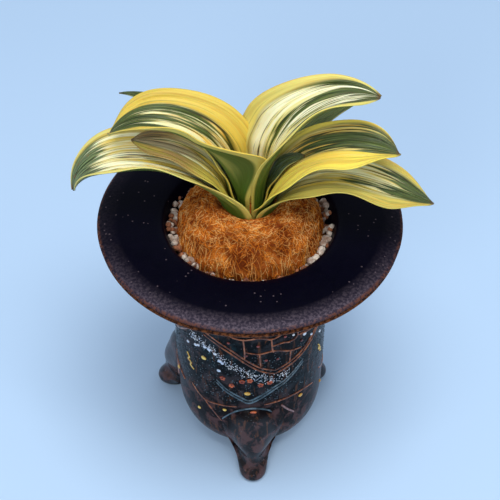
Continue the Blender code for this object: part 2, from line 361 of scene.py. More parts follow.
def potOutline():
    # two stretches of (radius, height), each smoothed on its own so that the corners stay
    top = brimTop
    throat, cavity, drain = pot["throatRadius"], pot["cavityRadius"], pot["drainRadius"]
    base, floor = pot["baseHeight"], pot["floorHeight"]
    wall = [
        (23, floor), (25.6, 12.6), (cavity - 0.3, 15.5), (cavity, 20), (cavity, 60),
        (cavity, top - 24), (28.6, top - 18), (30.4, top - 12), (32.6, top - 7), (throat - 0.8, top - 3.5),
        (throat + 0.4, top - 1.4), (38, top - 0.35), (43, top), (48, top - 0.05), (53, top - 0.35),
        (57.2, top - 0.8), (59.8, top - 1.3), (brimRadius - 0.15, top - 2.2), (brimRadius - 0.5, top - 3.1),
        (59.7, top - 3.8), (60.3, top - 4.5), (60.5, top - 5.3), (59.9, top - 6.2), (58, top - 6.8),
        (54, top - 7.1), (48, top - 7.8), (42, top - 10), (37.6, top - 13), (34.6, top - 17),
        *outerWall, (21.5, base),
    ]
    flared = drain + pot["drainFlare"]
    hole = [(flared, base), (drain, base + 0.5), (drain, floor - 0.5), (flared, floor)]
    return smoothLine(wall, 5) + smoothLine(hole, 2)


def wallRadius(height):
    # outer radius of the body, for what is laid on it or runs into it
    return readAlong([(level, radius) for radius, level in reversed(outerWall)], height)[0]


def buildPot(glaze):
    bm = turnOutline(potOutline(), pot["turns"], closed=True)
    for vertex in bm.verts:      # a thrown pot is never quite true
        turn = math.atan2(vertex.co.y, vertex.co.x)
        height = vertex.co.z
        if height > pot["baseHeight"] + 0.6:
            wobble = pot["sway"] * math.sin(2 * turn + 0.7)
            wobble += pot["ripple"] * math.sin(5 * turn + height / 9)
            outward = Vector((vertex.co.x, vertex.co.y, 0)).normalized()
            vertex.co -= outward * (0.1 + abs(wobble)) * ease((height - 8) / 20)
    finishPiece("glazedPot", bm, glaze, ["pot"])


foot = {
    "stations": [                # height, half width, inner side, and how far the toe is drawn back
        (0.0, 3.9, 10.2, 2.2), (0.6, 4.9, 11.2, 0.8), (1.8, 5.7, 12.0, 0.0), (3.6, 6.1, 12.8, 0.3),
        (5.5, 6.4, 13.4, 1.5), (8.0, 6.9, 14.0, 3.0), (11.5, 7.8, 15.0, 3.6), (16.0, 9.2, 15.0, 3.3),
        (20.0, 10.2, 15.0, 3.9), (24.0, 10.8, 15.0, 5.2), (28.0, 10.9, 15.0, 6.6), (31.5, 10.4, 15.0, 7.6),
        (34.0, 9.6, 15.0, 9.0), (36.0, 8.4, 15.0, 10.8), (37.6, 7.0, 15.0, 12.6), (38.8, 5.0, 15.0, 13.9),
    ],
    "soleShare": 0.07,           # the part of the ball that lies flat on the floor
    "crownShare": 0.95,          # from here up the knee closes
    "freeHeight": 6,             # below this the foot stands clear of the body
    "skirt": 1.3,                # how much wider the foot is where it meets the wall
    "heldRadius": 28.6,          # how deep its back is sunk in the wall
}


def footPoint(unit, stations, toe):
    # one point of a unit ball, drawn out into a sole, a toe and a knee that runs into the wall
    sole, crown = foot["soleShare"], foot["crownShare"]
    around = math.atan2(unit.x, -unit.y)
    share = math.acos(max(-1.0, min(1.0, -unit.z))) / math.pi
    height, spread = 0.0, 1.0
    if share < sole:
        spread = share / sole
    else:
        height = stations[-1][0] * (share - sole) / (1 - sole)
    if share > crown:
        spread = math.sqrt(max(0.0, 1 - ((share - crown) / (1 - crown)) ** 2))
    half, inner, drawn = readAlong(stations, height)
    outer = toe - drawn
    wall = wallRadius(max(height, 8.0))
    attached = ease((height - foot["freeHeight"]) / 6)
    side, front = math.sin(around), math.cos(around)
    middle = outer - inner * 0.5
    freeAcross = half * side
    freeReach = middle + inner * 0.5 * front
    skirt = half * foot["skirt"] * side
    bell = (0.5 + 0.5 * math.cos(math.pi * abs(side))) ** 0.75
    if front >= 0:
        heldReach = math.sqrt(wall ** 2 - skirt ** 2) - 0.3 + (outer - wall + 0.3) * bell
    else:
        heldReach = math.sqrt(foot["heldRadius"] ** 2 - skirt ** 2)
    across = freeAcross + (skirt - freeAcross) * attached
    reach = freeReach + (heldReach - freeReach) * attached
    centre = middle + (wall - 1.5 - middle) * attached
    return Vector((across * spread, -centre - (reach - centre) * spread, height))


def buildFeet(glaze):
    bm = bmesh.new()
    stations = smoothLine(foot["stations"], 4)
    for azimuth, toe in pot["feet"]:
        ball = bmesh.ops.create_uvsphere(bm, u_segments=48, v_segments=56, radius=1)["verts"]
        for vertex in ball:
            vertex.co = footPoint(vertex.co, stations, toe)
        turning = Matrix.Rotation(math.radians(azimuth), 3, "Z")
        bmesh.ops.rotate(bm, verts=ball, cent=(0, 0, 0), matrix=turning)
    bmesh.ops.remove_doubles(bm, verts=bm.verts, dist=0.002)
    finishPiece("potFeet", bm, glaze)


# Places on the wall are (azimuth, height), and a third number is a size. It all repeats between the feet.
slip = {
    "repeats": (0, 120, 240),
    "lineRadius": 0.4,
    "lineGap": 2.1,              # between the two lines of a lappet
    "bowlGap": 1.8,
    "lappetLeft": [(-37, 80), (-26, 77.6), (-14, 73.9), (-4, 69.3), (8, 63.8), (19, 60.8)],
    "lappetRight": [(19, 60.8), (28, 62.4), (41, 65.4), (54, 70), (66, 76), (76, 81)],
    "lattice": [
        [(-17, 84), (-14, 82), (-5, 81), (7, 82), (16, 80.3), (26, 82), (36, 84)],
        [(-5, 81), (-4, 74), (-4, 69.5)],
        [(16, 80.3), (17, 73.2), (18, 72.8)],
        [(-4, 73.8), (7, 72.4), (18, 73), (32, 69.6), (42, 68.2)],
        [(7, 72.4), (8, 64.6)],
        [(32, 69.6), (31, 63.4)],
        [(36, 84), (38, 77), (31, 75.4), (25, 76.4), (17, 76)],
        [(38, 77), (52, 75), (62, 76)],
    ],
    "latticeDots": [(-16, 78), (6, 77.2), (27, 79.5), (21, 67.4), (42, 72), (-3, 71.5), (12, 68)],
    "bowl": [(-26, 53), (-18, 48.8), (-8, 45.3), (-1, 43), (7, 45.5), (19, 50.3), (29, 53.2), (44, 60)],
    "swags": [
        [(-52, 41), (-41, 36.6), (-35, 36), (-23, 37), (-10, 38.2)],
        [(11, 39.4), (21, 39.8), (36, 39.8), (48, 39), (58, 37)],
        [(-38, 36), (-29, 30.4), (-23, 26)],
    ],
    "kneeArc": [(-22, 28), (-16, 32.6), (-8, 36.4), (3, 38), (14, 35.8), (20, 31)],
    # a bright orange fleck on the knee's top: a slip fleck that is also a painted highlight of the glaze's
    # gloss
    "kneeGlintFlecks": [(2.5, 36.0, 1.5)],
    "pinkDashes": [[(25, 36.4), (31, 31.5), (37, 27.6)]],
    "dabs": [(-45, 68.2, 1.5), (-42, 69.2, 1.2), (-36, 70.4, 1.5), (-32, 70.2, 1.6), (-27, 69, 1.4),
             (-23, 65.6, 1.7), (-21, 64.6, 1.2), (-24, 59.4, 1.5), (45, 74.8, 1.5), (53, 71, 1.1),
             (59, 73.5, 1.5), (66, 66, 1.3), (34, 78.5, 1.0), (38, 79.5, 0.8)],
    "petals": 5,
    "flowers": [(-21, 55.3), (-14, 51.8), (-6, 55.2), (0, 56), (8, 52.8), (15, 53.6)],
    "ovals": [(-37, 63.2, 1.6), (-2, 47.6, 1.7), (43, 36.4, 1.4), (-44, 27.4, 1.1), (-20, 34.4, 1.1)],
    "squiggle": [(-56, 58.5), (-53, 56.6), (-54.5, 55), (-51, 54.2), (-52, 52.4), (-48, 51)],
    "stippleBand": [(-50, 74), (-38, 73.4), (-26, 70.5), (-16, 66), (-6, 62.6), (4, 59.8), (16, 57),
                    (30, 58)],
    "stippleCount": 420,
    "stippleSize": (0.11, 0.24),
    "fineDots": 1500,
    "fineDotSize": (0.14, 0.3),
    "fineDotHeights": (41, 71),
    "neckRings": [(24.6, 0.15), (26.4, 0.0)],     # how far under the brim's top, and how proud
}


def onWall(azimuth, height, lift=0.0):
    # a point on the pot's wall; azimuth is counted from the front towards +X
    turn = math.radians(azimuth)
    radius = wallRadius(height) + lift - 0.15
    return Vector((radius * math.sin(turn), -radius * math.cos(turn), height))


def wallStrand(points, turn=0, lift=0.0, thin=0.35):
    return [onWall(a + turn, h, lift) for a, h in smoothLine(points, 6)], thin


def slipBlob(bm, azimuth, height, across, tall, proud, steps=2):
    # a flattened drop of slip
    made = bmesh.ops.create_icosphere(bm, subdivisions=steps, radius=1)["verts"]
    up = Vector((0, 0, 1))
    normal = onWall(azimuth, height).xy.to_3d().normalized()
    side = up.cross(normal)
    centre = onWall(azimuth, height, 0.05)
    for vertex in made:
        x, y, z = vertex.co
        vertex.co = centre + side * x * across + up * z * tall + normal * y * proud
    return made


def buildSlipLines(slips):
    copper, teal, pink = [], [], []
    for turn in slip["repeats"]:
        for offset in (0, slip["lineGap"]):
            for line in (slip["lappetLeft"], slip["lappetRight"]):
                copper.append(wallStrand([(a, h - offset) for a, h in line], turn))
        for line in slip["lattice"] + slip["swags"]:
            copper.append(wallStrand(line, turn))
        for offset in (0, slip["bowlGap"]):
            teal.append(wallStrand([(a, h - offset) for a, h in slip["bowl"]], turn))
        teal.append(wallStrand(slip["kneeArc"], turn, 0.3))
        for line in slip["pinkDashes"]:
            pink.append(wallStrand(line, turn))
    for drop, lift in slip["neckRings"]:
        ring = [onWall(angle, brimTop - drop, lift) for angle in range(0, 364, 4)]
        copper.append((ring, 0.0))
    thick = slip["lineRadius"]
    strandPiece("copperSlipLines", copper, thick, slips["copperSlip"], 2)
    strandPiece("tealSlipLines", teal, thick * 1.1, slips["tealSlip"], 2)
    strandPiece("pinkSlipDashes", pink, thick * 1.2, slips["pinkSlip"], 2)


def layFlowers(bm, turn):
    for azimuth, height in slip["flowers"]:
        for petal in range(slip["petals"]):
            angle = petal * math.tau / slip["petals"] + azimuth
            slipBlob(bm, azimuth + turn + 1.4 * math.cos(angle), height + 0.78 * math.sin(angle),
                     0.55, 0.5, 0.42)
    # the knee fleck is also a painted highlight on the knee's top
    for azimuth, height, size in slip["kneeGlintFlecks"]:
        glintFleck = slipBlob(bm, azimuth + turn, height, size, size * 0.5, 0.4)
        outward = onWall(azimuth + turn, height).xy.to_3d().normalized()
        bmesh.ops.translate(bm, verts=glintFleck, vec=outward * 0.9)


def buildSlipDrops(slips, rng):
    white, flowers, yellow, red, stipple, fine = (bmesh.new() for _ in range(6))
    squiggles = []
    band = smoothLine(slip["stippleBand"], 12)
    for turn in slip["repeats"]:
        for azimuth, height, size in slip["dabs"]:
            slipBlob(white, azimuth + turn, height, size * 0.62, size * 0.5, 0.5)
        layFlowers(flowers, turn)
        for azimuth, height, size in slip["ovals"]:
            slipBlob(yellow, azimuth + turn, height, size * 0.8, size * 0.58, 0.6, 3)
        for azimuth, height in slip["latticeDots"]:
            slipBlob(red, azimuth + turn, height, 0.75, 0.6, 0.4)
        squiggles.append(wallStrand(slip["squiggle"], turn))
        for _ in range(slip["stippleCount"]):
            azimuth, height = band[rng.randrange(len(band))]
            height += rng.gauss(-1.2, 1.5)
            size = rng.uniform(*slip["stippleSize"])
            slipBlob(stipple, azimuth + turn + rng.gauss(0, 1.2), height, size, size, 0.28, 1)
    for _ in range(slip["fineDots"]):
        azimuth, height = rng.uniform(-60, 60), rng.uniform(*slip["fineDotHeights"])
        size = rng.uniform(*slip["fineDotSize"])
        slipBlob(fine, azimuth + rng.choice(slip["repeats"]), height, size, size, 0.26, 1)
    for name, bm, finish in (
        ("whiteSlipDabs", white, "whiteSlip"), ("orangeSlipFlowers", flowers, "orangeSlip"),
        ("yellowSlipOvals", yellow, "yellowSlip"), ("redLatticeDots", red, "redSlip"),
        ("tealFineDots", fine, "tealSlip"), ("whiteStipple", stipple, "whiteSlip"),
    ):
        finishPiece(name, bm, slips[finish])
    strandPiece("goldSquiggles", squiggles, slip["lineRadius"], slips["yellowSlip"], 2)


moss = {
    "turns": 150,
    "profile": [(6.5, 3.0), (8.5, 5.2), (11, 7.2), (14, 8.2), (17, 8.1), (20, 7.2), (23, 5.0), (25.6, 2.0),
                (27.6, -1.6), (28.8, -5.2), (29.2, -9.0), (28.4, -13)],     # radius, height over the brim
    "fibres": 5200,
    "shades": "ABC",
    "fibreRadius": 0.13,
    "fibreLength": (2.0, 5.2),
    "fibreReach": (9.5, 30.2),   # the nearest and furthest start from the axis
    "astray": 0.25,              # the share that doesn't follow the winding
}


def mossHeight(radius):
    return readAlong(moss["profile"], radius)[0]


def mossBump(point):
    # the mound's surface: broad lumps, wound bands and short tufts
    turn = math.atan2(point.y, point.x)
    distance = point.xy.length
    broad = noise.noise(point / 9.0) * 0.9
    bands = math.sin(distance * 1.5 + 2.2 * noise.noise(point / 7.0) + 2 * turn) * 0.28
    tufts = noise.fractal(point / 1.6, 1.0, 2.0, 3) * 0.42
    return broad + bands + tufts


def buildMoss(mossFelt):
    outline = [(radius, brimTop + height) for radius, height in smoothLine(moss["profile"], 5)]
    bm = turnOutline(outline, moss["turns"], closed=False)
    bmesh.ops.holes_fill(bm, edges=[edge for edge in bm.edges if edge.is_boundary], sides=0)
    bmesh.ops.recalc_face_normals(bm, faces=bm.faces)
    bm.normal_update()
    moved = [(v, v.co + v.normal * mossBump(v.co)) for v in bm.verts if v.co.z > brimTop - 12]
    for vertex, spot in moved:
        vertex.co = spot
    finishPiece("mossMound", bm, mossFelt, ["moss_mound"])


def buildFibres(fibreMaterials, rng):
    # short wound strands that follow the mound, and some that lie across it
    nearest, furthest = moss["fibreReach"]
    for shade, material in zip(moss["shades"], fibreMaterials):
        strands = []
        for _ in range(moss["fibres"] // len(moss["shades"])):
            radius = math.sqrt(rng.uniform(nearest ** 2, furthest ** 2))
            turn = rng.uniform(0, math.tau)
            heading = turn + math.pi / 2 + rng.gauss(0, 0.55)
            if rng.random() < moss["astray"]:
                heading = rng.uniform(0, math.tau)
            length = rng.uniform(*moss["fibreLength"])
            curl = rng.gauss(0, 0.35)
            spot = compass(turn) * radius
            lift = rng.uniform(0.0, 0.35)
            points = []
            for step in range(5):
                distance = min(spot.xy.length, 29.4)
                surface = Vector((spot.x, spot.y, brimTop + mossHeight(distance)))
                slope = Vector((spot.x, spot.y, 16)).normalized()
                rise = mossBump(surface) + lift + 0.35 * math.sin(math.pi * step / 4)
                points.append(surface + slope * rise)
                spot += compass(heading) * length / 4
                heading += curl
            strands.append((points, 0.7))
        strandPiece("mossFibres" + shade, strands, moss["fibreRadius"], material, 0)


gravel = {
    "count": 330,
    "size": (0.85, 1.75),
    "inner": 28.6,
    "outer": 33.6,
    "depth": 9.8,                # from the brim's top to the inner grains
    "climb": 4.2,                # how much higher the outer grains lie
    "gritSize": 0.46,            # how much smaller the grains in front are
    "gritShare": 0.94,
}


def buildGravel(pumice, brownPumice, rng):
    white, brown = bmesh.new(), bmesh.new()
    for _ in range(gravel["count"]):
        turn = rng.uniform(0, math.tau)
        heap = 0.5 + 0.5 * math.sin(turn - 2.4)          # a little higher at the back left
        size = rng.uniform(*gravel["size"])
        if math.sin(turn) < -0.74 and rng.random() < gravel["gritShare"]:
            size *= gravel["gritSize"]
        share = rng.random()
        radius = gravel["inner"] + (gravel["outer"] - gravel["inner"] - size * 0.6) * share
        height = brimTop - gravel["depth"] + gravel["climb"] * share ** 1.3
        height += rng.uniform(-0.9, 1.0) + 1.2 * heap
        isBrown = rng.random() < (0.4 if size > 0.9 else 0.75)
        bm = brown if isBrown else white
        stone = bmesh.ops.create_icosphere(bm, subdivisions=2, radius=size)["verts"]
        stretch = Vector((rng.uniform(0.75, 1.25), rng.uniform(0.7, 1.1), rng.uniform(0.6, 0.95)))
        shift = Vector((rng.uniform(0, 90), rng.uniform(0, 90), rng.uniform(0, 90)))
        for vertex in stone:
            rough = 1 + 0.34 * noise.noise(vertex.co * 0.9 + shift)
            vertex.co = Vector(a * b for a, b in zip(vertex.co, stretch)) * rough
        turning = Matrix.Rotation(rng.uniform(0, math.tau), 3, Vector((rng.random(), rng.random(), 0.3)))
        bmesh.ops.rotate(bm, verts=stone, cent=(0, 0, 0), matrix=turning)
        bmesh.ops.translate(bm, verts=stone, vec=compass(turn) * radius + Vector((0, 0, height)))
    finishPiece("whitePumiceGrains", white, pumice, ["gravel_top"])
    finishPiece("brownPumiceGrains", brown, brownPumice)


leafCut = {
    "rows": 130,
    "columns": 56,
    "opening": 0.45,             # the share of the length over which the sheath opens to the full width
    "taper": 0.55,               # from here the blade narrows to its tip
    "thickness": 0.95,
    "squash": 0.74,              # how much narrower the sheath is pressed
}

plainLeaf = dict(                # what a leaf has unless its own row says otherwise
    roll=0, cup=15, wrap=1.0, wrapFar=1.0, fade=0.36, blunt=2.1, wing=(0, 0, 0), lean=(0, 0, 0),
    flare=(0, 0, 0), flareStart=0.1, flareEnd=0.8,
)
# rise holds the slopes along the midrib; wrap, wing, lean and flare shape the margins
leaves = {
    "leaf_left_1": dict(
        azimuth=180, sway=-3, base=10.6, length=83.5, half=12.5, rise=(90, 14, 8, -84), roll=-12, cup=18,
        wrap=1.66, blunt=2.7, flare=(0, 0.6, 1.6), fade=0.26, seed=1.3),
    "leaf_left_2": dict(
        azimuth=180, sway=-6, base=8.5, length=58, half=8.5, rise=(90, 72, 14, -8), roll=-8, cup=20,
        wrap=1.75, blunt=2.6, flare=(0, -0.8, -1.2), seed=4.1),
    "leaf_left_3": dict(
        azimuth=180, sway=-4, base=6.4, length=40, half=5, rise=(88, 84, 62, 40),
        wrap=1.3, seed=7.7),
    "leaf_left_4": dict(
        azimuth=180, sway=-4, base=4.4, length=84, half=13, rise=(87, 86, 20, -58), roll=-12, cup=17,
        wrap=1.15, wrapFar=1.2, blunt=2.4, wing=(13, 1, 2.5), flare=(0, 1, 2.6), lean=(5, 0, 0), seed=2.6),
    "leaf_left_back": dict(
        azimuth=134, sway=17, base=12, length=70, half=3.6, rise=(86, 48, 10, -24), seed=9.2),
    "leaf_right_1": dict(
        azimuth=0, sway=-12, base=10.6, length=73.5, half=12.5, rise=(90, 2, -20, -20), roll=-2, cup=17,
        wrap=1.38, flare=(0, -1.9, -2.9), flareStart=-0.04, flareEnd=0.74, seed=5.9),
    "leaf_right_2": dict(
        azimuth=0, sway=-8, base=8.5, length=71, half=12.5, rise=(90, 62, 8, -20), roll=-5, cup=17,
        wrap=1.22, blunt=4.2, flare=(0, -3.2, -4.6), flareStart=0.02, flareEnd=0.68, seed=3.4),
    "leaf_right_3": dict(
        azimuth=0, sway=0, base=6.4, length=35, half=5.4, rise=(90, 84, 66, 10),
        wrap=1.2, seed=8.5),
    "leaf_right_4": dict(
        azimuth=0, sway=3, base=4.4, length=85, half=13, rise=(86, 86, 57, -30), roll=4, cup=16,
        wrap=1.1, wrapFar=1.45, lean=(-8, 0, 1), seed=6.8),
    "leaf_right_back": dict(
        azimuth=46, sway=-17, base=12, length=57, half=3.3, rise=(86, 34, 20, 4), seed=10.7),
}


def midrib(leaf):
    # the share of the length, the point, and the sideways and upward directions at each row of the blade
    azimuth = math.radians(leaf["azimuth"])
    point = compass(azimuth) * leaf["base"] + Vector((0, 0, crownFoot))
    fine = 3
    steps = leafCut["rows"] * fine
    places = []
    for index in range(steps + 1):
        share = index / steps
        rest = 1 - share
        first, second, third, fourth = leaf["rise"]
        slope = math.radians(first * rest ** 3 + 3 * second * share * rest ** 2
                             + 3 * third * share ** 2 * rest + fourth * share ** 3)
        turn = azimuth + math.radians(leaf["sway"]) * ease(share / 0.6)
        outward = compass(turn)
        along = outward * math.cos(slope) + Vector((0, 0, math.sin(slope)))
        lateral = Vector((0, 0, 1)).cross(outward)
        normal = along.cross(lateral)
        roll = Matrix.Rotation(math.radians(leaf["roll"]) * ease(share / 0.5), 3, along)
        if index % fine == 0:
            places.append((share, point.copy(), roll @ lateral, roll @ normal))
        point += along * leaf["length"] / steps
    return places


def bladeHalf(leaf, share):
    sheath = min(leaf["base"] * 1.35, leaf["half"] * 0.85)
    width = sheath + (leaf["half"] - sheath) * ease(share / leafCut["opening"])
    if share > leafCut["taper"]:
        narrow = (share - leafCut["taper"]) / (1 - leafCut["taper"])
        width *= max(0.02, (1 - narrow ** leaf["blunt"]) ** 0.8)
    return width


def nearSide(leaf, across):
    # how far a point lies towards the viewer's margin, 0 at the midrib and 1 at the edge
    return across if abs(leaf["azimuth"]) > 90 else -across


def swell(share, start, rising, end, falling):
    return ease((share - start) / rising) * (1 - ease((share - end) / falling))


def wingShift(leaf, share, near):
    # the broad flange on the near side of the innermost left leaf
    return Vector(leaf["wing"]) * swell(share, 0.1, 0.26, 0.36, 0.2) * ease((near - 0.3) / 0.75)


def farShift(leaf, share, near):
    # far margins of the innermost pair lean together over the crown
    return Vector(leaf["lean"]) * swell(share, 0.12, 0.24, 0.48, 0.3) * ease((-near - 0.1) / 0.9)


def flareShift(leaf, share, near):
    # near margins that turn over and hang a little
    held = swell(share, leaf["flareStart"], 0.22, leaf["flareEnd"], 0.26)
    return Vector(leaf["flare"]) * held * ease((near - 0.42) / 0.6)


pleat = {                        # how far each kind of fold stands off a blade 24 mm wide
    "ribs": 0.34,
    "creases": 1.95,
    "channel": 0.7,
    "fine": 0.22,
    "wave": 0.9,
}


def pleats(leaf, share, across):
    # how far the surface stands off the plain blade, in millimetres
    seed = leaf["seed"]
    wide = leaf["half"] / 12
    opened = ease(share / 0.25) * (1 - ease((share - 0.8) / 0.2))
    inner = 1 - abs(across) ** 4
    drift = noise.noise(Vector((across * 1.4, share * 2.2, seed))) * 1.6
    ribs = pleat["ribs"] * math.cos(across * 17 + drift * 3 + seed)
    fold = max(0.0, noise.noise(Vector((across * 8.5, share * 2.4, seed + 5))))
    creases = -pleat["creases"] * fold ** 1.2
    channel = -pleat["channel"] * math.exp(-((across + 0.04 * drift) / 0.1) ** 2)
    fine = pleat["fine"] * noise.noise(Vector((across * 22, share * 6, seed + 9)))
    phase = seed * 3 + (2 if across > 0 else 0)
    wave = pleat["wave"] * abs(across) ** 3 * math.sin(share * 17 + phase)
    return wide * (opened * inner * (ribs + creases + channel + fine) + wave * ease(share / 0.4))


def leafPoint(leaf, station, across):
    share, point, lateral, normal = station
    half = bladeHalf(leaf, share)
    opened = ease(share / leafCut["opening"])
    squash = leafCut["squash"] + (1 - leafCut["squash"]) * ease(share / 0.3)
    bend = (1 - opened) / leaf["base"] + opened / leaf["cup"]
    near = nearSide(leaf, across)
    wrap = leaf["wrap"] if near > 0 else leaf["wrapFar"]
    half *= 1 + (wrap - 1) * (1 - ease(share / leaf["fade"]))
    swing = half * bend * across
    facing = normal * math.cos(swing) - lateral * math.sin(swing)
    spot = point + lateral * (math.sin(swing) / bend * squash) + normal * ((1 - math.cos(swing)) / bend)
    spot += facing * pleats(leaf, share, across)
    return spot + wingShift(leaf, share, near) + flareShift(leaf, share, near) + farShift(leaf, share, near)


def buildLeaf(name, leaf, upperSide, underSide):
    bm = bmesh.new()
    bm.loops.layers.uv.new("leafUv")
    rows, columns = leafCut["rows"], leafCut["columns"]
    bmesh.ops.create_grid(bm, x_segments=columns, y_segments=rows, size=1, calc_uvs=True)
    places = midrib(leaf)
    thin = bm.verts.layers.deform.new()
    for vertex in bm.verts:
        across = vertex.co.x
        row = round((vertex.co.y + 1) / 2 * rows)
        share = row / rows
        vertex[thin][0] = (1 - abs(across) ** 3) * (1 - 0.5 * share)
        vertex.co = leafPoint(leaf, places[row], across)
    bmesh.ops.scale(bm, vec=(mm, mm, mm), verts=bm.verts)
    blade = addObject(name + "Blade", meshFrom(name + "Blade", bm, underSide, upperSide))
    blade.vertex_groups.new(name="thickness")
    body = blade.modifiers.new("thickness", "SOLIDIFY")
    body.thickness = leafCut["thickness"] * mm
    body.offset = 0
    body.vertex_group = "thickness"
    body.thickness_vertex_group = 0.4
    body.material_offset = 1
    body.material_offset_rim = 1
    words = name.split("_")
    title = words[0] + "".join(word.capitalize() for word in words[1:])
    solid = bakedMesh(blade)
    solid.name = name + "Leaf"
    enlist(title, solid, [name])


leafLook = {                     # what a leaf has unless its own row says otherwise
    "green": 0.5, "tipGreen": 0.3, "tan": 0.0, "specks": 0.3, "farMargin": 0.12, "nearMargin": 0.15,
    "cream": paint(246, 240, 182), "gold": paint(232, 198, 74), "margin": paint(230, 204, 86),
    "dark": paint(32, 46, 14), "light": paint(98, 112, 52), "backMargin": 0.41,
}
leafLooks = {
    "leaf_left_1": dict(
        green=0.15, tipGreen=0.9, nearMargin=0.15, specks=0.8, cream=paint(255, 250, 204),
        light=paint(132, 148, 98), margin=paint(232, 216, 120)),
    "leaf_left_2": dict(green=0.3, tan=0.65, nearMargin=0.26, margin=paint(212, 192, 74)),
    "leaf_left_3": dict(green=0.8, tipGreen=0.0, nearMargin=0.2),
    "leaf_left_4": dict(
        green=0.56, tipGreen=0.25, farMargin=0.26, nearMargin=0.2, backMargin=0.37,
        margin=paint(232, 198, 78), gold=paint(236, 188, 70)),
    "leaf_left_back": dict(green=1.0, farMargin=0.06, nearMargin=0.06, margin=paint(120, 132, 70)),
    "leaf_right_1": dict(
        green=0.36, tipGreen=0.6, nearMargin=0.21, farMargin=0.16, margin=paint(208, 188, 84)),
    "leaf_right_2": dict(
        green=0.55, nearMargin=0.34, farMargin=0.09, margin=paint(252, 224, 84),
        gold=paint(236, 184, 62), cream=paint(226, 206, 120)),
    "leaf_right_3": dict(
        green=1.0, tipGreen=0.0, farMargin=0.06, nearMargin=0.06, margin=paint(120, 132, 70)),
    "leaf_right_4": dict(
        green=0.42, tipGreen=0.4, farMargin=0.15, nearMargin=0.14, cream=paint(250, 246, 206),
        gold=paint(238, 224, 140), margin=paint(230, 212, 110)),
    "leaf_right_back": dict(green=1.1, farMargin=0.05, nearMargin=0.05, margin=paint(110, 122, 66)),
}
leafPaint = {
    "grains": {                  # how many across the blade, how many along it, seed step and detail
        "broad": (7.5, 1.1, 1, 3.0), "streak": (19, 1.7, 3, 3.0), "narrow": (42, 2.6, 5, 3.0),
        "hair": (95, 3.5, 7, 2.0), "thread": (30, 2.2, 11, 3.0),
    },
    "greenShares": {"broad": 0.42, "streak": 0.36, "narrow": 0.26},
    # the crease colour is painted shade, for the dark lines in the creases between the pleats
    "dryThread": paint(152, 138, 62), "edgeLine": paint(88, 92, 34), "creaseShade": paint(54, 46, 16),
    "sheath": paint(70, 92, 22), "tan": paint(150, 112, 78), "speck": paint(142, 84, 30),
    "deadTip": paint(96, 66, 36),
    "rimStraw": paint(214, 200, 110), "rimAmber": paint(214, 168, 66), "rimOlive": paint(128, 124, 48),
    "rimDull": paint(176, 166, 84),
    "backDeep": paint(52, 74, 22), "backGreen": paint(98, 116, 44), "backStraw": paint(176, 168, 84),
    "backSheath": paint(58, 92, 16), "backRim": paint(206, 190, 92),
}


def bladeNoise(shader, across, along, offset, detail, roughness=0.6, distortion=0.0):
    return addNoise(place(shader, (across, along, 1), "UV", offset), 1.0, detail, roughness, distortion)


def leafGrains(shader, seed):
    # lengthwise grains of five widths, which the colours and the relief share
    made = {}
    for grain, (count, length, turn, detail) in leafPaint["grains"].items():
        made[grain] = bladeNoise(shader, count, length, (seed * turn, seed, turn), detail, 0.6, 0.35)
    return made


def leafMasks(shader, seed, look, across, along):
    # inside is 1 between the pale margins, and outline is the thin line where they meet the green
    drift = bladeNoise(shader, 2, 3, (seed, seed, 0), 2.0, 0.55)
    wander = times(drift, 0.07, -0.035)
    edge = reckon("ADD", across, wander)
    shrink = times(along, -0.32, 1.13)
    edge = times(reckon("SUBTRACT", edge, 0.5), shrink, 0.5)
    far, near = look["farMargin"], 1 - look["nearMargin"]
    inside = addRamp(edge, [
        (0.0, 0.0), (far, 0.0), (far + 0.035, 1.0), (near - 0.035, 1.0), (near, 0.0), (1.0, 0.0),
    ], False)
    outline = addRamp(edge, [
        (0.0, 0.0), (far - 0.01, 0.0), (far + 0.02, 1.0), (far + 0.05, 0.0),
        (near - 0.04, 0.0), (near - 0.015, 1.0), (near + 0.01, 0.0), (1.0, 0.0),
    ], False)
    return inside, outline


def greenMask(grains, look, along, inside):
    # where the dark green streaks stand in the pale ground
    towardTip = addRamp(along, [(0.0, 0.5), (0.35, 0.42), (0.62, 0.56), (0.95, 0.82)])
    amount = look["green"] * 0.34 - 0.19 - look["tipGreen"] * 0.5
    for grain, weight in leafPaint["greenShares"].items():
        amount = times(grains[grain], weight, amount)
    amount = times(towardTip, look["tipGreen"], amount)
    return times(fadeIn(amount, 0.495, 0.545, smooth=False), inside)


